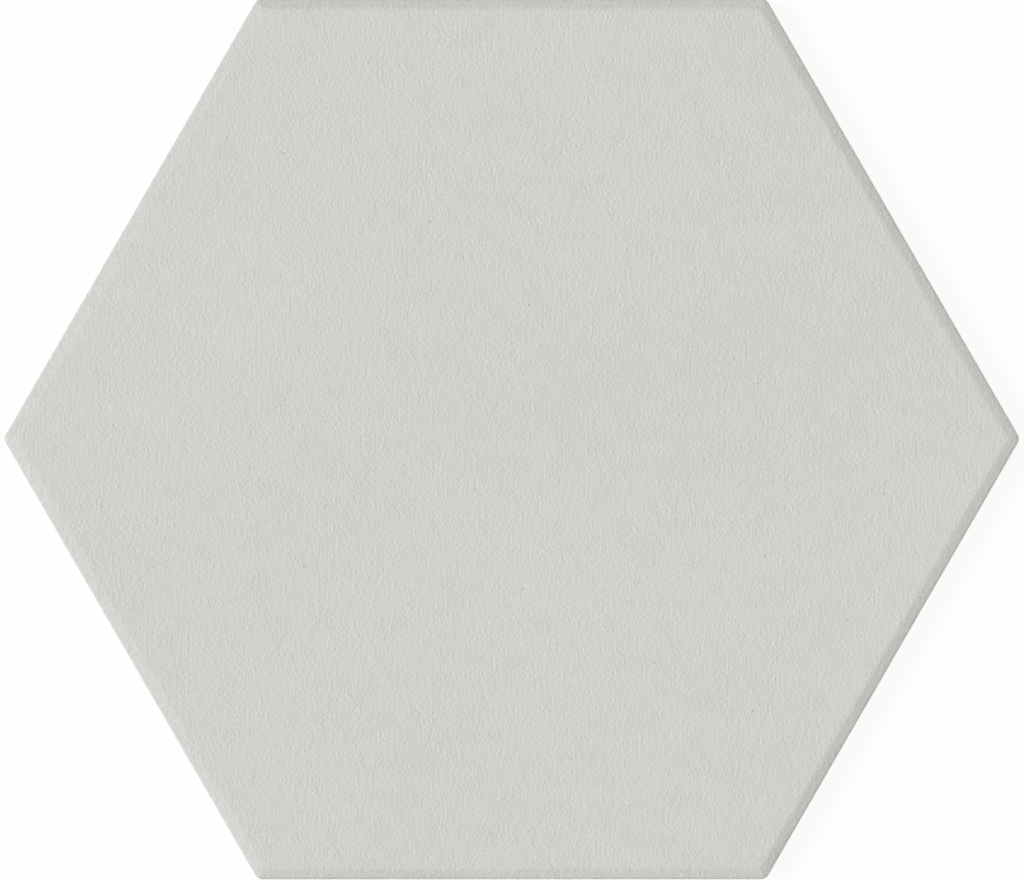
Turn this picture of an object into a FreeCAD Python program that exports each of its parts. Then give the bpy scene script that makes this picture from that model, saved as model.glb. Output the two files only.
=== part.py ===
"""Hexagon floor tile: one pressed and fired piece, face up, tips along X, millimetres.

The origin is the middle of the tile on the plane that it lies on. The face is flat and rolls off
all round to a pressed edge, the sides hold a vertical joint band above a drafted foot, and the
back is keyed with a honeycomb of shallow recesses inside a plain margin.
"""
import FreeCAD, Part
import math
import os

import Sketcher

SIDES = 6
RECESS_RINGS = 5

# Driving dimensions: name, value and what it measures. Lengths in mm, angles in degrees.
DIMENSIONS = (
    ("across_flats", 182.0, "between two opposite sides, at the joint bands"),
    ("thickness", 9.0, "from the rib tops of the back to the face"),
    ("corner_radius", 1.8, "of the six corners, seen from above"),
    ("rim_radius", 1.2, "rounding from the joint band to the sloping edge"),
    ("slope_angle", 26.0, "of the sloping edge, below level"),
    ("blend_radius", 2.4, "rounding from the sloping edge to the flat face"),
    ("band_height", 3.2, "of the vertical joint band"),
    ("draft_angle", 8.0, "of the foot below the joint band, off upright"),
    ("heel_chamfer", 0.6, "on the lower edge of the foot"),
    ("margin_width", 8.0, "plain margin of the back, from the band to the nearest recess"),
    ("rib_width", 2.2, "of the ribs between two recesses, at their tops"),
    ("recess_depth", 0.9, "of the recesses, from the rib tops"),
    ("recess_draft", 32.0, "of the recess walls, off upright"),
)

# Expressions on the sheet for the lengths and angles that follow from the driving dimensions.
HALF_WIDTH = "Sizes.across_flats / 2"
CORNER_AXIS = "(Sizes.across_flats / 2 - Sizes.corner_radius) / cos(30)"
CORNER_WALL = f"{CORNER_AXIS} + Sizes.corner_radius"
OVERCUT = "Sizes.corner_radius"
SLOPE_DIRECTION = "180 deg - Sizes.slope_angle * 1 deg"
FOOT_DIRECTION = "-90 deg - Sizes.draft_angle * 1 deg"
SLOPE_TOP = "Sizes.thickness - Sizes.blend_radius * (1 - cos(Sizes.slope_angle * 1 deg))"
KEYED_REACH = "(Sizes.across_flats / 2 - Sizes.margin_width + Sizes.rib_width / (2 * cos(30)))"
PITCH = f"({KEYED_REACH} / ({RECESS_RINGS} * cos(30) + 1 / (2 * cos(30))))"
HALF_MOUTH = f"({PITCH} - Sizes.rib_width) / 2"

doc = FreeCAD.newDocument("HexagonTile")


def make_sizes():
    """Sheet of the driving dimensions, each in a cell named by its alias."""
    sheet = doc.addObject("Spreadsheet::Sheet", "Sizes")
    for row, (name, value, meaning) in enumerate(DIMENSIONS, start=1):
        sheet.set(f"A{row}", meaning)
        sheet.set(f"B{row}", str(value))
        sheet.setAlias(f"B{row}", name)
    doc.recompute()
    return sheet


sizes = make_sizes()


def measure(expression):
    """Present value of an expression on the sheet, in mm or degrees."""
    return float(sizes.evalExpression(expression))


def origin_feature(body, role):
    """One of the body's own origin planes or axes."""
    return next(feature for feature in body.Origin.OriginFeatures if feature.Role == role)


def new_sketch(body, name, plane):
    """Sketch on one of the body's own origin planes."""
    sketch = body.newObject("Sketcher::SketchObject", name)
    sketch.AttachmentSupport = [(origin_feature(body, plane), "")]
    sketch.MapMode = "FlatFace"
    return sketch


def relate(sketch, *relations):
    """Add constraints that hold no size, such as ("Equal", 0, 1)."""
    sketch.addConstraint([Sketcher.Constraint(*relation) for relation in relations])


def dimension(sketch, name, expression, kind, *places):
    """Add one named constraint whose size is an expression on the sheet."""
    value = measure(expression)
    if kind == "Angle":
        value = math.radians(value)
    index = sketch.addConstraint(Sketcher.Constraint(kind, *places, value))
    sketch.renameConstraint(index, name)
    sketch.setExpression(f"Constraints.{name}", expression)


def point(x, y):
    return FreeCAD.Vector(x, y, 0)


def hexagon(sketch, tag, centre, first_corner, apothem):
    """Closed regular hexagon about a centre, its apothem an expression.

    first_corner is the angle, in degrees, at which its first line ends. Returns that line and the
    construction circle through the corners.
    """
    radius = measure(apothem) / math.cos(math.pi / SIDES)
    angles = [math.radians(first_corner + 360 / SIDES * i) for i in range(SIDES)]
    corners = [centre + point(math.cos(angle), math.sin(angle)) * radius for angle in angles]
    sides = [Part.LineSegment(corners[i - 1], corners[i]) for i in range(SIDES)]
    lines = sketch.addGeometry(sides, False)
    circle = sketch.addGeometry(Part.Circle(centre, FreeCAD.Vector(0, 0, 1), radius), True)
    relate(
        sketch,
        *[("Coincident", lines[i - 1], 2, lines[i], 1) for i in range(SIDES)],
        *[("PointOnObject", line, 1, circle) for line in lines],
        *[("Equal", lines[0], line) for line in lines[1:]],
    )
    dimension(sketch, f"apothem{tag}", apothem, "Distance", circle, 3, lines[0])
    return lines[0], circle


def section_points(wall):
    """Corner points of the edge section for a joint band at the given distance from the origin."""
    slope = math.radians(sizes.slope_angle)
    slope_top = measure(SLOPE_TOP)
    rim_run = sizes.rim_radius * (1 - math.sin(slope))
    slope_foot = slope_top - (sizes.corner_radius - rim_run) * math.tan(slope)
    band_top = slope_foot - sizes.rim_radius * math.cos(slope)
    band_foot = band_top - sizes.band_height
    foot_inset = (band_foot - sizes.heel_chamfer) * math.tan(math.radians(sizes.draft_angle))
    blend_run = sizes.blend_radius * math.sin(slope)
    return {
        "face_end": point(wall - sizes.corner_radius - blend_run, sizes.thickness),
        "slope_top": point(wall - sizes.corner_radius, slope_top),
        "slope_foot": point(wall - rim_run, slope_foot),
        "band_top": point(wall, band_top),
        "band_foot": point(wall, band_foot),
        "heel_top": point(wall - foot_inset, sizes.heel_chamfer),
        "heel_foot": point(wall - foot_inset - sizes.heel_chamfer, 0),
    }


def arc_down(centre, start, end):
    """Arc that the section follows down from start to end."""
    first = math.atan2(end.y - centre.y, end.x - centre.x)
    last = math.atan2(start.y - centre.y, start.x - centre.x)
    circle = Part.Circle(centre, FreeCAD.Vector(0, 0, 1), centre.distanceToPoint(start))
    return Part.ArcOfCircle(circle, first, last)


def edge_section(sketch, wall, from_face):
    """Closed outline of what the press takes away outside the edge section.

    It runs down the tile's own surface to the heel and returns outside the tile. It starts at the
    flat face, or else at the top of the slope, which is where a corner's axis lies.
    """
    wall_place = measure(wall)
    over = measure(OVERCUT)
    at = section_points(wall_place)
    start = at["face_end"] if from_face else at["slope_top"]
    slope = sketch.addGeometry(Part.LineSegment(at["slope_foot"], at["slope_top"]), False)
    rim_centre = point(wall_place - sizes.rim_radius, at["band_top"].y)
    rim = sketch.addGeometry(arc_down(rim_centre, at["slope_foot"], at["band_top"]), False)
    corners = [
        at["band_top"],
        at["band_foot"],
        at["heel_top"],
        at["heel_foot"],
        point(at["heel_foot"].x, -over),
        point(wall_place + over, -over),
        point(wall_place + over, sizes.thickness + over),
        point(start.x, sizes.thickness + over),
        start,
    ]
    outline = [Part.LineSegment(first, second) for first, second in zip(corners, corners[1:])]
    lines = sketch.addGeometry(outline, False)
    band, foot, heel, drop, under, outside, over_face, back = lines
    relate(
        sketch,
        *[("Coincident", first, 2, second, 1) for first, second in zip(lines, lines[1:])],
        *[("Vertical", line) for line in (band, drop, outside, back)],
        *[("Horizontal", line) for line in (under, over_face)],
        ("Tangent", slope, 1, rim, 2),
        ("Tangent", rim, 1, band, 1),
        ("PointOnObject", heel, 2, -1),
    )
    if from_face:
        blend_centre = point(start.x, start.y - sizes.blend_radius)
        blend = sketch.addGeometry(arc_down(blend_centre, start, at["slope_top"]), False)
        relate(
            sketch,
            ("Tangent", blend, 1, slope, 2),
            ("Coincident", back, 2, blend, 2),
            ("Vertical", blend, 3, blend, 2),
        )
        dimension(sketch, "blend_radius", "Sizes.blend_radius", "Radius", blend)
    else:
        relate(sketch, ("Coincident", back, 2, slope, 2))

    dimension(sketch, "wall", wall, "DistanceX", -1, 1, band, 1)
    dimension(sketch, "slope_top", SLOPE_TOP, "DistanceY", -1, 1, slope, 2)
    dimension(sketch, "slope_direction", SLOPE_DIRECTION, "Angle", slope)
    dimension(sketch, "edge_run", "Sizes.corner_radius", "DistanceX", slope, 2, band, 1)
    dimension(sketch, "rim_radius", "Sizes.rim_radius", "Radius", rim)
    dimension(sketch, "band_height", "Sizes.band_height", "DistanceY", band, 2, band, 1)
    dimension(sketch, "foot_direction", FOOT_DIRECTION, "Angle", foot)
    dimension(sketch, "heel_height", "Sizes.heel_chamfer", "DistanceY", heel, 2, heel, 1)
    dimension(sketch, "heel_run", "Sizes.heel_chamfer", "DistanceX", heel, 2, heel, 1)
    dimension(sketch, "under_cut", OVERCUT, "DistanceY", drop, 2, drop, 1)
    dimension(sketch, "outer_cut", OVERCUT, "DistanceX", band, 1, outside, 1)
    dimension(sketch, "over_cut", f"Sizes.thickness + {OVERCUT}", "DistanceY", -1, 1, outside, 2)


def pressed_blank(body):
    """Six-sided slab of the full thickness."""
    outline = new_sketch(body, "Outline", "XY_Plane")
    upper_side, circle = hexagon(outline, "", point(0, 0), 120, HALF_WIDTH)
    relate(outline, ("Coincident", circle, 3, -1, 1), ("Horizontal", upper_side))
    slab = body.newObject("PartDesign::Pad", "Slab")
    slab.Profile = outline
    slab.setExpression("Length", "Sizes.thickness")


def side_edge(body):
    """Edge section along the side that faces +Y, run out past both its corners."""
    section = new_sketch(body, "SideSection", "YZ_Plane")
    edge_section(section, HALF_WIDTH, from_face=True)
    pocket = body.newObject("PartDesign::Pocket", "SideEdge")
    pocket.Profile = section
    pocket.Midplane = True
    pocket.setExpression("Length", "Sizes.across_flats")
    return pocket


def corner_edge(body):
    """Edge section turned about the axis of the corner on +X, between its two sides."""
    section = new_sketch(body, "CornerSection", "XZ_Plane")
    edge_section(section, CORNER_WALL, from_face=False)
    foot = point(measure(CORNER_AXIS), 0)
    axis = section.addGeometry(Part.LineSegment(foot, foot + point(0, sizes.thickness)), True)
    relate(section, ("Vertical", axis), ("PointOnObject", axis, 1, -1))
    dimension(section, "axis_place", CORNER_AXIS, "DistanceX", -1, 1, axis, 1)
    dimension(section, "axis_length", "Sizes.thickness", "DistanceY", axis, 1, axis, 2)
    groove = body.newObject("PartDesign::Groove", "CornerEdge")
    groove.Profile = section
    groove.ReferenceAxis = (section, ["Axis0"])
    groove.Midplane = True
    groove.Angle = 360 / SIDES
    return groove


def all_round(body, name, originals):
    """Repeat features on all six sides."""
    pattern = body.newObject("PartDesign::PolarPattern", name)
    pattern.Originals = originals
    pattern.Axis = (origin_feature(body, "Z_Axis"), [""])
    pattern.Angle = 360
    pattern.Occurrences = SIDES
    body.Tip = pattern


def recesses(body, name, places):
    """Tapered hexagonal recesses in the back, each with a corner towards +Y, at honeycomb places.

    A place is a pair: pitches out along X, then pitches on along the next direction of the lattice.
    """
    pitch = measure(PITCH)
    mouths = new_sketch(body, f"{name}Mouths", "XY_Plane")
    for out, on in places:
        tag = f"_{out}_{on}"
        centre = point(pitch * (out + on / 2), pitch * on * math.cos(math.pi / SIDES))
        upright, circle = hexagon(mouths, tag, centre, 30, HALF_MOUTH)
        relate(mouths, ("Vertical", upright))
        if out:
            dimension(mouths, f"along{tag}", f"{PITCH} * {out + on / 2}", "DistanceX", -1, 1, circle, 3)
        else:
            relate(mouths, ("PointOnObject", circle, 3, -2))
        if on:
            dimension(mouths, f"across{tag}", f"{PITCH} * {on} * cos(30)", "DistanceY", -1, 1, circle, 3)
        else:
            relate(mouths, ("PointOnObject", circle, 3, -1))
    hollows = body.newObject("PartDesign::Pocket", name)
    hollows.Profile = mouths
    hollows.Refine = False
    hollows.Reversed = True
    hollows.setExpression("Length", "Sizes.recess_depth")
    hollows.setExpression("TaperAngle", "-Sizes.recess_draft")
    return hollows


def keyed_back(body):
    """Honeycomb of recesses: one in the middle, and a sixth of the rest turned six times."""
    recesses(body, "MiddleRecess", [(0, 0)])
    sixth = [(out, on) for on in range(RECESS_RINGS) for out in range(1, RECESS_RINGS - on + 1)]
    all_round(body, "AllRecesses", [recesses(body, "RecessSixth", sixth)])


def make_tile():
    """The whole tile as one body, whose label names its file."""
    body = doc.addObject("PartDesign::Body", "HexagonTile")
    body.Label = "hexagon_tile"
    body.Placement = FreeCAD.Placement()
    pressed_blank(body)
    all_round(body, "AllEdges", [side_edge(body), corner_edge(body)])
    keyed_back(body)
    doc.recompute()
    return body


def check_document():
    """Stop on a failed object, or on a cut that took nothing away."""
    for item in doc.Objects:
        if "Invalid" in item.State or "Error" in item.State:
            raise RuntimeError(f"{item.Name} failed: {item.State}")
        is_cut = item.isDerivedFrom("PartDesign::FeatureSubtractive")
        is_pattern = item.isDerivedFrom("PartDesign::Transformed")
        if (is_cut or is_pattern) and item.Shape.Volume >= item.BaseFeature.Shape.Volume:
            raise RuntimeError(f"{item.Name} takes nothing away")


def write_part(body):
    """Write one sub-part to the file that its label names."""
    shape = body.Shape
    if shape.isNull() or not shape.isValid() or len(shape.Solids) != 1:
        raise RuntimeError(f"{body.Label} is not one sound solid")
    shape.exportStep(f"parts/{body.Label}.step")
    box = shape.BoundBox
    print(
        f"{body.Label}: {box.XLength:.2f} x {box.YLength:.2f} x {box.ZLength:.2f} mm, "
        f"{shape.Volume / 1000:.1f} cm3, {len(shape.Faces)} faces"
    )


tile = make_tile()
check_document()
os.makedirs("parts", exist_ok=True)
write_part(tile)
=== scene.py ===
"""Looks of the hexagon floor tile: its fired skin, its satin glaze and the floor that it lies on.

The skin follows the pressed tile that the frame holds: a flat face that rolls off to a sloping edge,
a vertical joint band, a drafted foot and a back keyed with a honeycomb of recesses. Lengths are in
metres, in the frame's own axes: Z up out of the face, X towards a tip.
"""
import math

import bmesh
import bpy
from bpy.props import FloatProperty, FloatVectorProperty, IntProperty, PointerProperty
from bpy.types import Operator, Panel, PropertyGroup
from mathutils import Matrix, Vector, noise
from mathutils.geometry import delaunay_2d_cdt


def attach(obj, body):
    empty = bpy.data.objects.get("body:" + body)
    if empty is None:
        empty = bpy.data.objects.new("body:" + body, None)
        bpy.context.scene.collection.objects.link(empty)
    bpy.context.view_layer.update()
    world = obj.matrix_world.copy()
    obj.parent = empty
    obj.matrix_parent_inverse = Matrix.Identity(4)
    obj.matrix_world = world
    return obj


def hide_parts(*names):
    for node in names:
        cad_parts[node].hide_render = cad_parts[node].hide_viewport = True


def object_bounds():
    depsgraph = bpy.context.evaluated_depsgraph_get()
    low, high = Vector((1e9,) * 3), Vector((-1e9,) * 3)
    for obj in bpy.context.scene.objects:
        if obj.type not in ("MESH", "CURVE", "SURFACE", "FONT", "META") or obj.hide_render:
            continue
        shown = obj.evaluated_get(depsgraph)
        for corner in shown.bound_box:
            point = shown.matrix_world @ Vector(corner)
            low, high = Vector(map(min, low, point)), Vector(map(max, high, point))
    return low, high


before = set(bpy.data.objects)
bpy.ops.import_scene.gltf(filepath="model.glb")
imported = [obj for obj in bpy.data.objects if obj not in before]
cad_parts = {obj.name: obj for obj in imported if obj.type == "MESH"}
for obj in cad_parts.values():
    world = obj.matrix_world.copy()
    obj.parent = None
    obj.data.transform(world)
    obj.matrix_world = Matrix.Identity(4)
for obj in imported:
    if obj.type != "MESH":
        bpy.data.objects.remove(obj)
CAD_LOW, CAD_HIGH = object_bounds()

bl_info = {
    "name": "Hexagon Floor Tile",
    "version": (1, 0, 0),
    "blender": (4, 5, 0),
    "location": "View3D > Sidebar > Tile",
    "description": "Presses, fires and glazes a hexagon floor tile, and lights it for its picture",
    "category": "Add Mesh",
}

NODE = "hexagon_tile"
SIDES = 6
SIXTH = math.tau / SIDES
MM = 0.001

# Steps of the mesh: round the blend, the rim and an arris of the section, round a tip and along a
# side of the outline, and the same for a recess. The face has a honeycomb of so many rings.
BLEND_STEPS = 9
RIM_STEPS = 12
ARRIS_STEPS = 3
TIP_STEPS = 8
SIDE_STEPS = 72
RECESS_TIP_STEPS = 3
RECESS_SIDE_STEPS = 2
FACE_RINGS = 84
FLOOR_SIDES = 96

# Faces that meet at more than this stay sharp. Flat triangles are laid only inside their rim, and
# points closer than this, in mm, are one.
SHARP_TURN = math.radians(30)
ONLY_INSIDE = 1
SAME_POINT = 1e-6
FLOOR_GAP = 0.02 * MM

# A cloud of noise spans about 0.4. The gains bring the waves of the glaze line to its whole spread
# and the ripple on them to a part of it. The edges say where patches begin and are whole in their
# clouds. The tone moves the glaze's colour by its span either way. A speck fades from that share
# of its radius outwards. The flecks are laid in places that lie apart from those of the pits, in mm.
WAVE_GAIN = 2.5
RIPPLE_GAIN = 1.5
PATCH_EDGE = 0.15
WASH_EDGES = (-0.04, 0.1)
TONE_SPAN = 0.15
SPECK_CORE = 0.4
FLECKS_APART = (310, 170, 0)


def length(name, description, default):
    """Property for a length, in metres."""
    return FloatProperty(name=name, description=description, default=default, unit="LENGTH", precision=5)


def angle(name, description, degrees):
    """Property for an angle, given in degrees."""
    return FloatProperty(
        name=name, description=description, default=math.radians(degrees), subtype="ANGLE"
    )


def share(name, description, default):
    """Property for a plain number."""
    return FloatProperty(name=name, description=description, default=default, precision=3)


def colour(name, description, default):
    """Property for a colour, in linear light."""
    return FloatVectorProperty(
        name=name, description=description, default=default, subtype="COLOR", size=3, min=0, max=1
    )


class TileShape(PropertyGroup):
    """Sizes of the pressed tile."""

    across_flats: length("Across Flats", "Between two opposite sides", CAD_HIGH.y - CAD_LOW.y)
    across_corners: length("Across Corners", "Between two opposite tips", CAD_HIGH.x - CAD_LOW.x)
    thickness: length("Thickness", "From the rib tops to the face", CAD_HIGH.z - CAD_LOW.z)
    slope_angle: angle("Slope", "Of the sloping edge, below level", 26)
    blend_radius: length("Blend Radius", "From the face to the sloping edge", 2.4 * MM)
    rim_radius: length("Rim Radius", "From the sloping edge to the joint band", 1.2 * MM)
    band_height: length("Band Height", "Of the vertical joint band", 3.2 * MM)
    draft_angle: angle("Foot Draft", "Of the foot, off upright", 8)
    heel_chamfer: length("Heel Chamfer", "On the lower edge of the foot", 0.6 * MM)
    margin_width: length("Margin", "Plain margin of the back", 8 * MM)
    rib_width: length("Rib Width", "Between two recesses, at the rib tops", 2.2 * MM)
    recess_depth: length("Recess Depth", "From the rib tops", 0.9 * MM)
    recess_draft: angle("Recess Draft", "Of the recess walls, off upright", 32)
    recess_rings: IntProperty(name="Recess Rings", description="Rings about the middle one", default=5)
    arris_radius: length("Arris Radius", "Rounding of the heel and the rib tops", 0.15 * MM)
    face_swell: length("Face Swell", "Deepest dip of the fired face", 0.012 * MM)
    face_swell_size: length("Face Swell Size", "From one dip of the face to the next", 28 * MM)
    side_swell: length("Side Swell", "Deepest dip of the fired sides", 0.035 * MM)
    side_swell_size: length("Side Swell Size", "From one dip of the sides to the next", 5 * MM)
    crest_waver: length("Crest Waver", "How far the edge of the flat face wanders", 0.25 * MM)
    crest_waver_size: length("Crest Waver Size", "From one bend of that edge to the next", 4 * MM)
    shoulder: share("Shoulder", "Share of the thickness above which the skin counts as face", 0.8)


class GlazeFinish(PropertyGroup):
    """Satin glaze of the face and its edge."""

    tint: colour("Glaze", "Colour of the glaze", (0.651, 0.6555, 0.6213))
    # The thin glaze is painted shade: a slightly darker, warmer tint laid on the sloping edge below the
    # face.
    painted_edge_shade: colour("Edge Shade", "Painted shade, a darker and warmer tint of the sloping edge", (0.968, 0.966, 0.957))
    edge_shade_start: length("Edge Start", "Below the face, where the painted edge shade begins", 0.02 * MM)
    edge_shade_full: length("Edge Full", "Below the face, where the painted edge shade is whole", 0.2 * MM)
    thickness: length("Glaze Thickness", "How far the glaze stands proud of the body", 0.08 * MM)
    roughness: share("Roughness", "Of the satin glaze", 0.75)
    roughness_grain: share("Roughness Grain", "How far the grain varies the roughness", 0.12)
    refraction: share("Refraction", "Index of refraction of the glaze", 1.5)
    sheen_level: share("Sheen", "How strongly the glaze mirrors", 0.35)
    line_height: length("Glaze Line", "Where the glaze ends on the joint band", 5.4 * MM)
    line_spread: length("Line Spread", "How far the line wanders up and down", 1.1 * MM)
    line_wave: length("Line Wave", "From one wave of the line to the next", 6 * MM)
    line_ripple: length("Line Ripple", "From one ripple of the line to the next", 0.5 * MM)
    line_fade: length("Line Fade", "From the line to full glaze, and to bare body", 0.3 * MM)
    grain_size: length("Grain Size", "Of the fine skin of the glaze, across its run", 0.6 * MM)
    grain_stretch: share("Grain Stretch", "How much longer the grain is along its run", 1.5)
    grain_depth: length("Grain Depth", "Of the fine skin of the glaze", 0.185 * MM)
    # The motes are painted light and shade: each is lighter on one side and darker on the other, as the
    # glaze's fine relief looks when lit from the side. Their size also sets the width of the streaks.
    relief_shade_and_streak_size: length("Relief Shade and Streak Size", "Of the fine painted light and shade of the glaze's relief, and of its streaks, across their run", 0.5 * MM)
    relief_shade_shift: length("Relief Shade Shift", "From the light side of a mote to its dark side", 0.3 * MM)
    relief_shade_stretch: share("Relief Shade Stretch", "How much longer than wide a mote is", 1.3)
    relief_shade_tone: share("Relief Shade Tone", "How far the motes vary the colour", 0.215)
    streak_stretch: share("Streak Stretch", "How much longer than wide a streak is", 8)
    streak_tone: share("Streak Tone", "How far the streaks vary the colour", 0.1)
    patch_size: length("Patch Size", "Over which the grain comes and goes", 5 * MM)
    patch_strength: share("Patch Strength", "How far the grain comes and goes", 0.2)
    mottle_size: length("Mottle Size", "Of the cloudy mottling", 9 * MM)
    mottle_tone: share("Mottle Tone", "How far the mottling varies the colour", 0.045)
    drift_size: length("Drift Size", "Of the broad drift of colour", 60 * MM)
    drift_tone: share("Drift Tone", "How far the drift varies the colour", 0.05)
    pit_radius: length("Pit Radius", "Of the tiny dark pits", 0.24 * MM)
    pit_spacing: length("Pit Spacing", "Between places that may hold a pit", 24 * MM)
    pit_depth: length("Pit Depth", "Of the tiny dark pits", 0.06 * MM)
    # The pits' dark colour is painted shade, the shade inside a pinhole. Their real dip is only the
    # shallow bump of the pit depth.
    pit_shade: share("Pit Shade", "Share of the glaze's colour that is left in a pit", 0.35)
    pit_strength: share("Pit Strength", "How far the pits take on their shade", 0.6)
    fleck_radius: length("Fleck Radius", "Of the tiny light flecks", 0.22 * MM)
    fleck_spacing: length("Fleck Spacing", "Between places that may hold a fleck", 28 * MM)
    fleck_tone: share("Fleck Tone", "How far the flecks lighten the colour", 0.12)
    speck_share: share("Speck Share", "Share of the places that hold a pit or a fleck", 0.3)


class BodyFinish(PropertyGroup):
    """Bare fired body of the foot and the back."""

    tint: colour("Body", "Colour of the fired body", (0.56, 0.545, 0.5))
    wash: colour("Kiln Wash", "White that the rollers leave on the ribs", (0.78, 0.77, 0.74))
    roughness: share("Roughness", "Of the fired body", 0.85)
    dark: share("Dark", "Factor of the body's colour where it is darkest", 0.86)
    light: share("Light", "Factor of the body's colour where it is lightest", 1.1)
    sand_size: length("Sand Size", "Of the sandy skin of the body", 0.5 * MM)
    sand_tone: share("Sand Tone", "How far the sand varies the colour", 0.9)
    sand_depth: length("Sand Depth", "Of the sandy skin of the body", 0.09 * MM)
    stain_size: length("Stain Size", "Of the soft stains of the body", 14 * MM)
    stain_tone: share("Stain Tone", "How far the stains vary the colour", 0.7)
    drag_size: length("Drag Size", "Between the upright marks of the die", 0.35 * MM)
    drag_stretch: share("Drag Stretch", "How much taller than wide a mark of the die is", 12.5)
    drag_depth: length("Drag Depth", "Of the upright marks of the die", 0.05 * MM)
    wash_size: length("Wash Size", "Of the patches of kiln wash", 22 * MM)
    wash_ragged: share("Wash Raggedness", "How far the sand breaks up the patches", 0.5)
    wash_strength: share("Wash Strength", "How far the wash covers the body", 0.7)
    wash_full: length("Wash Full", "Above the floor, up to where the wash is whole", 0.02 * MM)
    wash_end: length("Wash End", "Above the floor, where the wash ends", 0.12 * MM)


class Stage(PropertyGroup):
    """Camera, lamps and floor."""

    frame_width: length("Frame Width", "Width of the picture at the tile's outline", 211.7 * MM)
    lens: FloatProperty(name="Lens", description="Focal length", default=200, unit="CAMERA")
    aim_x: length("Aim Right", "Middle of the picture, right of the tile's", 0.04 * MM)
    aim_y: length("Aim Up", "Middle of the picture, above the tile's", -0.24 * MM)
    lamp_distance: length("Lamp Distance", "From the tile to each lamp", 6)
    room_light: share("Room Light", "Share of the light that comes from the room", 0.04)
    floor_tint: colour("Floor", "Colour of the floor", (0.94, 0.94, 0.94))
    floor_glow: share("Floor Glow", "How far the floor is lifted to white where it is seen", 0.92)
    floor_reach: length("Floor Reach", "Distance from the tile at which the floor is all white", 1.5)
    floor_radius: length("Floor Radius", "Of the round floor", 6)


# Lamps: name, compass angle and height angle in degrees, width in metres, share of the face's light
# and colour.
LAMPS = (
    ("left_lamp", 177, 52.5, 2.4, 0.688, (0.99, 0.995, 1)),
    ("right_lamp", 2, 31, 2.4, 0.233, (1, 0.985, 0.965)),
    ("low_lamp", 208, 8, 0.8, 0.03, (0.87, 0.94, 1)),
)


def smooth_step(low, high, value):
    """0 below low, 1 above high and smooth between."""
    place = min(1, max(0, (value - low) / (high - low)))
    return place * place * (3 - 2 * place)


def rounded_path(corners):
    """Points of a path whose corners are rounded.

    A corner is its two coordinates, its radius and the number of steps of its arc. The first and
    the last are ends, and have no radius.
    """
    places = [Vector(corner[:2]) for corner in corners]
    path = [places[0]]
    for before, place, after, corner in zip(places, places[1:], places[2:], corners[1:]):
        radius, steps = corner[2:]
        back, on = (before - place).normalized(), (after - place).normalized()
        half_turn = (math.pi - back.angle(on)) / 2
        centre = place + (back + on).normalized() * radius / math.cos(half_turn)
        start = place + back * radius * math.tan(half_turn)
        spoke = start - centre
        turn = -math.copysign(2 * half_turn, back.cross(on))
        for step in range(steps + 1):
            swing = turn * step / steps
            turned = Vector((
                spoke.x * math.cos(swing) - spoke.y * math.sin(swing),
                spoke.x * math.sin(swing) + spoke.y * math.cos(swing),
            ))
            path.append(centre + turned)
    return path + [places[-1]]


def spaced(path, longest):
    """The path with points added so that no step is longer than that."""
    full = [path[0]]
    for start, end in zip(path, path[1:]):
        steps = max(1, math.ceil((end - start).length / longest))
        full += [start.lerp(end, step / steps) for step in range(1, steps + 1)]
    return full


def rounded_hexagon(half_width, corner_radius, first_corner, arc_steps, side_steps):
    """Points once round a hexagon with rounded corners."""
    points = []
    reach = (half_width - corner_radius) / math.cos(SIXTH / 2)
    arcs = []
    for corner in range(SIDES):
        middle = first_corner + corner * SIXTH
        centre = Vector((math.cos(middle), math.sin(middle))) * reach
        bearings = [middle + SIXTH * (step / arc_steps - 0.5) for step in range(arc_steps + 1)]
        arcs.append([centre + Vector((math.cos(b), math.sin(b))) * corner_radius for b in bearings])
    for arc, following in zip(arcs, arcs[1:] + arcs[:1]):
        points += arc
        points += [arc[-1].lerp(following[0], step / side_steps) for step in range(1, side_steps)]
    return points


def lattice(step, rings):
    """Places of a honeycomb about the origin, out to so many rings."""
    for on in range(-rings, rings + 1):
        for out in range(max(-rings, -rings - on), min(rings, rings - on) + 1):
            yield Vector((out + on / 2, on * math.cos(SIXTH / 2))) * step


class Skin:
    """Points and faces of one closed skin, laid ring by ring."""

    def __init__(self):
        self.points = []
        self.faces = []

    def ring(self, outline, height):
        """Lay a closed ring of points at one height."""
        first = len(self.points)
        self.points += [Vector((*place, height)) for place in outline]
        return list(range(first, len(self.points)))

    def join(self, upper, lower):
        """Faces between two rings of as many points."""
        following = zip(upper[1:] + upper[:1], lower[1:] + lower[:1])
        for here, (up, down) in zip(zip(upper, lower), following):
            self.faces.append((here[0], here[1], down, up))

    def fill(self, rim, holes=(), inner=()):
        """Flat triangles inside a rim, outside its holes and through the inner points."""
        loops = [rim, *holes]
        used = [index for loop in loops for index in loop] + list(inner)
        local = {index: place for place, index in enumerate(used)}
        flat = [self.points[index].to_2d() / MM for index in used]
        bounds = [[local[index] for index in loop] for loop in loops]
        _, _, faces, origins, _, inside = delaunay_2d_cdt(flat, [], bounds, ONLY_INSIDE, SAME_POINT)
        for face, owners in zip(faces, inside):
            if owners == [0]:
                self.faces.append(tuple(used[origins[corner][0]] for corner in face))


def corner_radius(shape):
    """Plan radius of the tips, from the tile's two widths."""
    slack = 1 / math.cos(SIXTH / 2) - 1
    return (shape.across_flats * (slack + 1) - shape.across_corners) / 2 / slack


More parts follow.
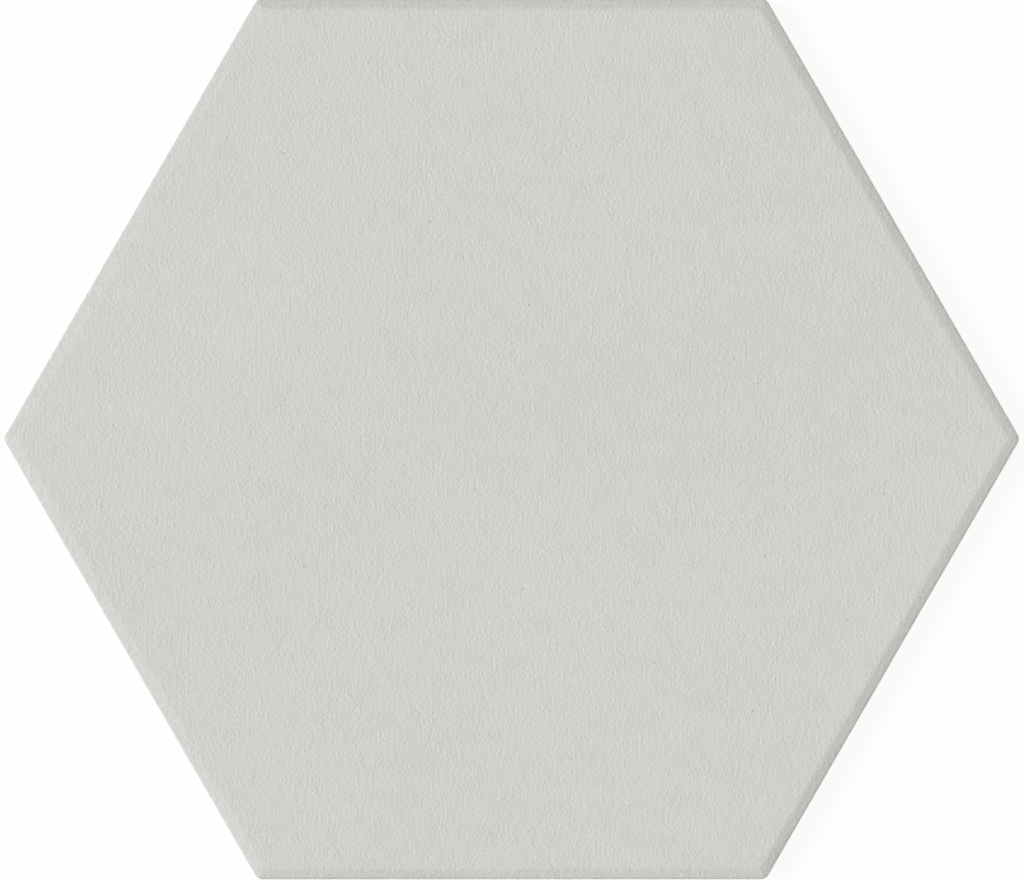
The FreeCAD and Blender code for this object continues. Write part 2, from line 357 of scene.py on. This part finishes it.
def edge_section(shape):
    """Section of the edge from the flat face to the back: inset from the joint band, and height."""
    slope = math.tan(shape.slope_angle)
    blend_drop = shape.blend_radius * (1 - math.cos(shape.slope_angle))
    slope_run = corner_radius(shape) + blend_drop / slope
    crest = shape.thickness - slope_run * slope
    band_top = crest - shape.rim_radius * math.tan((math.pi / 2 - shape.slope_angle) / 2)
    band_foot = band_top - shape.band_height
    foot_run = (band_foot - shape.heel_chamfer) * math.tan(shape.draft_angle)
    plain = slope_run + shape.blend_radius
    arris = shape.arris_radius
    path = rounded_path([
        (plain, shape.thickness),
        (slope_run, shape.thickness, shape.blend_radius, BLEND_STEPS),
        (0, crest, shape.rim_radius, RIM_STEPS),
        (0, band_foot, shape.rim_radius, ARRIS_STEPS),
        (foot_run, shape.heel_chamfer, arris, ARRIS_STEPS),
        (foot_run + shape.heel_chamfer, 0, arris, ARRIS_STEPS),
        (plain, 0),
    ])
    longest = shape.rim_radius / 2
    return spaced(path, longest)


def lay_edge(skin, shape):
    """Lay the rings of the edge, from the flat face over the rim to the back.

    Returns the first and the last of them.
    """
    tip = corner_radius(shape)
    tightest = shape.rim_radius / 4
    rings = []
    for inset, height in edge_section(shape):
        half_width = shape.across_flats / 2 - inset
        radius = max(tip - inset, tightest)
        outline = rounded_hexagon(half_width, radius, 0, TIP_STEPS, SIDE_STEPS)
        rings.append(skin.ring(outline, height))
    for upper, lower in zip(rings, rings[1:]):
        skin.join(upper, lower)
    return rings[0], rings[-1]


def lay_face(skin, shape, rim):
    """Flat face inside the rim, on a fine honeycomb of points."""
    reach = max(skin.points[index].x for index in rim)
    first = len(skin.points)
    step = reach / (FACE_RINGS + 1)
    skin.points += [Vector((*place, shape.thickness)) for place in lattice(step, FACE_RINGS)]
    skin.fill(rim, inner=range(first, len(skin.points)))


def lay_back(skin, shape, rim):
    """Back inside the rim: a plain margin, ribs and one recess for each cell of the honeycomb."""
    spread = 1 / math.cos(SIXTH / 2)
    keyed_reach = shape.across_flats / 2 - shape.margin_width + shape.rib_width * spread / 2
    pitch = keyed_reach / (shape.recess_rings / spread + spread / 2)
    half_mouth = (pitch - shape.rib_width) / 2
    wall_run = shape.recess_depth * math.tan(shape.recess_draft)
    arris = shape.arris_radius
    floor_arris = 2 * arris
    path = rounded_path([
        (half_mouth + arris, 0),
        (half_mouth, 0, arris, ARRIS_STEPS),
        (half_mouth - wall_run, shape.recess_depth, floor_arris, ARRIS_STEPS),
        (half_mouth - wall_run - arris - floor_arris, shape.recess_depth),
    ])
    tip = shape.rib_width / 4
    mouths = []
    for centre in lattice(pitch, shape.recess_rings):
        rings = []
        for half_width, height in path:
            steps = RECESS_TIP_STEPS, RECESS_SIDE_STEPS
            outline = rounded_hexagon(half_width, tip, SIXTH / 2, *steps)
            rings.append(skin.ring([centre + place for place in outline], height))
        for upper, lower in zip(rings, rings[1:]):
            skin.join(upper, lower)
        skin.faces.append(tuple(rings[-1]))
        mouths.append(rings[0])
    skin.fill(rim, mouths)


def fire(skin, shape):
    """Let the face and the sides swell and waver a little, always inside the pressed tile."""
    bearings = [SIXTH * (side + 0.5) for side in range(SIDES // 2)]
    aside = Vector((0, 0, 1))
    for point in skin.points:
        reach = max(abs(point.x * math.cos(b) + point.y * math.sin(b)) for b in bearings)
        inset = shape.across_flats / 2 - reach
        raised = smooth_step(shape.thickness * shape.shoulder, shape.thickness, point.z)
        outer = smooth_step(shape.margin_width, shape.blend_radius, inset)
        crest = raised * outer * smooth_step(0, shape.blend_radius / 2, inset)
        broad = 0.5 + 0.5 * noise.noise(point / shape.face_swell_size)
        close = 0.5 + 0.5 * noise.noise(point / shape.side_swell_size)
        waver = noise.noise((point + aside) / shape.crest_waver_size)
        outward = Vector((point.x, point.y, 0)).normalized()
        point.z -= shape.face_swell * raised * min(1, max(0, broad))
        point -= outward * shape.side_swell * outer * min(1, max(0, close))
        point -= outward * shape.crest_waver * crest * waver


def build_mesh(name, skin):
    """Mesh of a skin, with its faces turned outwards and smooth except at true corners."""
    mesh = bpy.data.meshes.new(name)
    mesh.from_pydata(skin.points, [], skin.faces)
    draft = bmesh.new()
    draft.from_mesh(mesh)
    bmesh.ops.recalc_face_normals(draft, faces=draft.faces)
    draft.to_mesh(mesh)
    draft.free()
    mesh.shade_smooth()
    mesh.set_sharp_from_angle(angle=SHARP_TURN)
    mesh.validate()
    return mesh


class Wire:
    """One output of a shader node. Arithmetic on it adds Math nodes."""

    def __init__(self, recipe, socket):
        self.recipe = recipe
        self.socket = socket

    def outlet(self, name):
        """Another output of the same node."""
        return Wire(self.recipe, self.socket.node.outputs[name])

    def __add__(self, other):
        return self.recipe.math("ADD", self, other)

    def __sub__(self, other):
        return self.recipe.math("SUBTRACT", self, other)

    def __rsub__(self, other):
        return self.recipe.math("SUBTRACT", other, self)

    def __mul__(self, other):
        return self.recipe.math("MULTIPLY", self, other)

    __radd__ = __add__
    __rmul__ = __mul__


class Recipe:
    """Node tree of one material or of the world, made from expressions on wires."""

    def __init__(self, owner):
        owner.use_nodes = True
        self.tree = owner.node_tree
        self.tree.nodes.clear()

    def node(self, kind, settings=None, sockets=None):
        """Add a node: its type, its settings, then the values or wires of its sockets."""
        made = self.tree.nodes.new(kind)
        for name, value in (settings or {}).items():
            setattr(made, name, value)
        for key, value in (sockets or {}).items():
            socket = self.inlet(made, key)
            if isinstance(value, Wire):
                self.tree.links.new(value.socket, socket)
            elif socket.type == "RGBA":
                socket.default_value = (*value, 1)
            else:
                socket.default_value = value
        outlets = [outlet for outlet in made.outputs if outlet.enabled]
        return Wire(self, outlets[0]) if outlets else None

    def inlet(self, made, key):
        """Input of a node by its place or its name, among those in use."""
        if isinstance(key, int):
            return made.inputs[key]
        return next(socket for socket in made.inputs if socket.enabled and socket.name == key)

    def math(self, operation, first, second):
        return self.node("ShaderNodeMath", {"operation": operation}, {0: first, 1: second})

    def vector(self, operation, first, second):
        """Vector Math on two vectors, or on a vector and a scale."""
        key = "Scale" if operation == "SCALE" else 1
        return self.node("ShaderNodeVectorMath", {"operation": operation}, {0: first, key: second})

    def blend(self, factor, first, second):
        """Colour from first to second."""
        sockets = {"Factor": factor, "A": first, "B": second}
        return self.node("ShaderNodeMix", {"data_type": "RGBA"}, sockets)

    def step(self, value, low, high):
        """0 below low, 1 above high and smooth between. With high below low it falls."""
        sockets = {"Value": value, "From Min": low, "From Max": high}
        return self.node("ShaderNodeMapRange", {"interpolation_type": "SMOOTHSTEP"}, sockets)

    def cloud(self, place, size, detail=2.0):
        """Noise about zero whose features are about as large as size."""
        sockets = {"Vector": place, "Scale": 1 / size, "Detail": detail}
        return self.node("ShaderNodeTexNoise", None, sockets) - 0.5

    def specks(self, place, spacing, radius, kept):
        """Soft-edged spots of one size scattered at random, in that share of the cells."""
        settings = {"voronoi_dimensions": "2D"}
        cells = self.node("ShaderNodeTexVoronoi", settings, {"Vector": place, "Scale": 1 / spacing})
        chance = self.node("ShaderNodeSeparateColor", None, {"Color": cells.outlet("Color")})
        near = self.step(cells * spacing, radius, radius * SPECK_CORE)
        return near * self.math("LESS_THAN", chance, kept)


def tinted(tint, factor):
    """A colour made darker or lighter."""
    return tuple(channel * factor for channel in tint)


def glazed_stoneware(glaze, body):
    """Satin glaze down to a ragged line on the joint band, bare fired body below it."""
    material = bpy.data.materials.new("glazed_stoneware")
    recipe = Recipe(material)
    place = recipe.node("ShaderNodeTexCoord").outlet("Object")
    place = recipe.vector("SCALE", place, 1 / MM)
    height = recipe.node("ShaderNodeSeparateXYZ", None, {0: place}).outlet("Z")
    top = CAD_HIGH.z / MM

    spread = glaze.line_spread / MM
    line = glaze.line_height / MM + recipe.cloud(place, glaze.line_wave / MM) * (spread * WAVE_GAIN)
    line = line + recipe.cloud(place, glaze.line_ripple / MM) * (spread * RIPPLE_GAIN)
    fade = glaze.line_fade / MM
    glazed = recipe.step(height - line, -fade, fade)

    run = recipe.vector("MULTIPLY", place, (1, 1 / glaze.grain_stretch, 1))
    grain = recipe.cloud(run, glaze.grain_size / MM)
    # Painted light and shade of the fine relief: a cloud less the same cloud shifted sideways, so that
    # each mote is light on one side and dark on the other.
    relief_shade_and_streak_size = glaze.relief_shade_and_streak_size / MM
    run = recipe.vector("MULTIPLY", place, (1, 1 / glaze.relief_shade_stretch, 1))
    beside = recipe.vector("ADD", run, (glaze.relief_shade_shift / MM, 0, 0))
    painted_relief_shade = recipe.cloud(run, relief_shade_and_streak_size, detail=0.0) - recipe.cloud(beside, relief_shade_and_streak_size, detail=0.0)
    run = recipe.vector("MULTIPLY", place, (1, 1 / glaze.streak_stretch, 1))
    streaks = recipe.cloud(run, relief_shade_and_streak_size, detail=0.0)
    patches = recipe.step(recipe.cloud(place, glaze.patch_size / MM), -PATCH_EDGE, PATCH_EDGE)
    patches = 1 + (patches - 0.5) * (2 * glaze.patch_strength)
    mottle = recipe.cloud(place, glaze.mottle_size / MM)
    drift = recipe.cloud(place, glaze.drift_size / MM, detail=1.0)
    kept = glaze.speck_share
    pits = recipe.specks(place, glaze.pit_spacing / MM, glaze.pit_radius / MM, kept)
    apart = recipe.vector("ADD", place, FLECKS_APART)
    flecks = recipe.specks(apart, glaze.fleck_spacing / MM, glaze.fleck_radius / MM, kept)
    tone = painted_relief_shade * glaze.relief_shade_tone + streaks * glaze.streak_tone
    tone = tone * patches + mottle * glaze.mottle_tone + drift * glaze.drift_tone
    tone = 0.5 + (tone + flecks * glaze.fleck_tone) * (0.5 / TONE_SPAN)
    darkest, lightest = tinted(glaze.tint, 1 - TONE_SPAN), tinted(glaze.tint, 1 + TONE_SPAN)
    glaze_tint = recipe.blend(tone, darkest, lightest)
    # Painted shade in the pits: their colour is darkened, over the shallow dip that the bump gives them.
    painted_pit_shade = tinted(glaze.tint, glaze.pit_shade)
    glaze_tint = recipe.blend(pits * glaze.pit_strength, glaze_tint, painted_pit_shade)
    # Painted shade: the sloping edge gets a slightly darker, warmer tint than the flat face.
    sloping = recipe.step(height, top - glaze.edge_shade_start / MM, top - glaze.edge_shade_full / MM)
    painted_edge_shade = recipe.blend(sloping, (1, 1, 1), glaze.painted_edge_shade)
    glaze_tint = recipe.vector("MULTIPLY", glaze_tint, painted_edge_shade)

    sand = recipe.cloud(place, body.sand_size / MM, detail=4.0)
    stain = recipe.cloud(place, body.stain_size / MM, detail=3.0)
    body_tone = 0.5 + sand * body.sand_tone + stain * body.stain_tone
    body_tint = recipe.blend(body_tone, tinted(body.tint, body.dark), tinted(body.tint, body.light))
    rib_tops = recipe.step(height, body.wash_end / MM, body.wash_full / MM)
    washed = recipe.cloud(place, body.wash_size / MM) + sand * body.wash_ragged
    washed = recipe.step(washed, *WASH_EDGES)
    body_tint = recipe.blend(rib_tops * washed * body.wash_strength, body_tint, body.wash)

    stretch = recipe.vector("MULTIPLY", place, (1, 1, 1 / body.drag_stretch))
    drag = recipe.cloud(stretch, body.drag_size / MM)
    relief = grain * patches * (glaze.grain_depth / MM) - pits * (glaze.pit_depth / MM)
    body_relief = sand * (body.sand_depth / MM) + drag * (body.drag_depth / MM)
    relief = body_relief + glazed * (relief + glaze.thickness / MM - body_relief)
    normal = recipe.node("ShaderNodeBump", None, {"Strength": 1, "Distance": MM, "Height": relief})

    tint = recipe.blend(glazed, body_tint, glaze_tint)
    roughness = glaze.roughness + grain * glaze.roughness_grain
    roughness = roughness + (1 - glazed) * (body.roughness - glaze.roughness)
    sockets = {
        "Base Color": tint,
        "Roughness": roughness,
        "Normal": normal,
        "IOR": glaze.refraction,
        "Specular IOR Level": glaze.sheen_level,
    }
    shader = recipe.node("ShaderNodeBsdfPrincipled", None, sockets)
    recipe.node("ShaderNodeOutputMaterial", None, {"Surface": shader})
    return material


class TILE_OT_press(Operator):
    """Press, fire and glaze the tile"""

    bl_idname = "tile.press"
    bl_label = "Press the Tile"

    def execute(self, context):
        scene = context.scene
        shape = scene.tile_shape
        skin = Skin()
        face_rim, back_rim = lay_edge(skin, shape)
        lay_face(skin, shape, face_rim)
        lay_back(skin, shape, back_rim)
        fire(skin, shape)
        mesh = build_mesh("fired_tile", skin)
        mesh.materials.append(glazed_stoneware(scene.tile_glaze, scene.tile_body))
        tile = bpy.data.objects.new("fired_tile", mesh)
        scene.collection.objects.link(tile)
        normals = tile.modifiers.new("normals", "WEIGHTED_NORMAL")
        normals.keep_sharp = True
        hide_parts(NODE)
        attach(tile, "root")
        return {"FINISHED"}


def seen(recipe):
    """1 for what the camera sees, directly, in a reflection or through glass, and else 0."""
    path = recipe.node("ShaderNodeLightPath")
    mirrored = path.outlet("Is Glossy Ray") + path.outlet("Is Transmission Ray")
    return recipe.math("MINIMUM", path.outlet("Is Camera Ray") + mirrored, 1)


def floor_material(stage):
    """Pale floor that looks white and keeps a soft shadow near the tile."""
    material = bpy.data.materials.new("studio_floor")
    recipe = Recipe(material)
    matt = recipe.node("ShaderNodeBsdfDiffuse", None, {"Color": stage.floor_tint})
    white = recipe.node("ShaderNodeEmission", None, {"Color": (1, 1, 1), "Strength": 1})
    place = recipe.node("ShaderNodeTexCoord").outlet("Object")
    distance = recipe.vector("DISTANCE", place, (0, 0, 0))
    away = recipe.step(distance, stage.frame_width, stage.floor_reach)
    glow = seen(recipe) * (stage.floor_glow + away * (1 - stage.floor_glow))
    shader = recipe.node("ShaderNodeMixShader", None, {"Fac": glow, 1: matt, 2: white})
    recipe.node("ShaderNodeOutputMaterial", None, {"Surface": shader})
    return material


def make_world(stage):
    """Room light that shows white to the camera and in reflections."""
    world = bpy.data.worlds.new("studio_room")
    recipe = Recipe(world)
    strength = stage.room_light + seen(recipe) * (1 - stage.room_light)
    room = recipe.node("ShaderNodeBackground", None, {"Color": (1, 1, 1), "Strength": strength})
    recipe.node("ShaderNodeOutputWorld", None, {"Surface": room})
    return world


class TILE_OT_set_stage(Operator):
    """Set up the floor, the room, the lamps and the camera"""

    bl_idname = "tile.set_stage"
    bl_label = "Set the Stage"

    def execute(self, context):
        scene = context.scene
        stage = scene.tile_stage
        self.lay_floor(scene, stage)
        scene.world = make_world(stage)
        for lamp in LAMPS:
            self.hang_lamp(scene, stage, *lamp)
        self.aim_camera(scene, stage)
        scene.view_settings.view_transform = "Standard"
        return {"FINISHED"}

    def lay_floor(self, scene, stage):
        mesh = bpy.data.meshes.new("floor")
        draft = bmesh.new()
        size = {"segments": FLOOR_SIDES, "radius": stage.floor_radius}
        bmesh.ops.create_circle(draft, cap_ends=True, **size)
        draft.to_mesh(mesh)
        draft.free()
        mesh.materials.append(floor_material(stage))
        floor = bpy.data.objects.new("floor", mesh)
        floor.location.z = CAD_LOW.z - FLOOR_GAP
        scene.collection.objects.link(floor)

    def hang_lamp(self, scene, stage, name, compass, rise, width, light, tint):
        """Area lamp, aimed at the tile, that gives the level face its share of the light."""
        flat = Vector((math.cos(math.radians(compass)), math.sin(math.radians(compass)), 0))
        towards = flat * math.cos(math.radians(rise)) + Vector((0, 0, math.sin(math.radians(rise))))
        lamp = bpy.data.lights.new(name, "AREA")
        lamp.shape = "DISK"
        lamp.size = width
        lamp.energy = light * (math.pi * stage.lamp_distance) ** 2 / towards.z
        lamp.color = tint
        holder = bpy.data.objects.new(name, lamp)
        holder.location = towards * stage.lamp_distance
        holder.rotation_euler = towards.to_track_quat("Z", "Y").to_euler()
        scene.collection.objects.link(holder)

    def aim_camera(self, scene, stage):
        """Camera straight above the tile, its picture as wide as given at the tile's outline."""
        lens = bpy.data.cameras.new("camera")
        lens.lens = stage.lens
        camera = bpy.data.objects.new("camera", lens)
        distance = stage.frame_width * stage.lens / lens.sensor_width
        shape = scene.tile_shape
        outline_height = shape.thickness - 2 * shape.rim_radius
        camera.location = (stage.aim_x, stage.aim_y, outline_height + distance)
        scene.collection.objects.link(camera)
        scene.camera = camera


class VIEW3D_PT_tile(Panel):
    """Sizes, finishes and steps of the tile"""

    bl_label = "Hexagon Floor Tile"
    bl_space_type = "VIEW_3D"
    bl_region_type = "UI"
    bl_category = "Tile"

    def draw(self, context):
        for operator in OPERATORS:
            self.layout.operator(operator.bl_idname)
        for name, group in GROUPS.items():
            box = self.layout.box()
            for prop in group.__annotations__:
                box.prop(getattr(context.scene, name), prop)


GROUPS = {
    "tile_shape": TileShape,
    "tile_glaze": GlazeFinish,
    "tile_body": BodyFinish,
    "tile_stage": Stage,
}
OPERATORS = (TILE_OT_press, TILE_OT_set_stage)


def register():
    for item in (*GROUPS.values(), *OPERATORS, VIEW3D_PT_tile):
        bpy.utils.register_class(item)
    for name, group in GROUPS.items():
        setattr(bpy.types.Scene, name, PointerProperty(type=group))


def unregister():
    for name in GROUPS:
        delattr(bpy.types.Scene, name)
    for item in reversed((*GROUPS.values(), *OPERATORS, VIEW3D_PT_tile)):
        bpy.utils.unregister_class(item)


def main():
    register()
    bpy.ops.tile.press()
    bpy.ops.tile.set_stage()


if __name__ == "__main__":
    main()
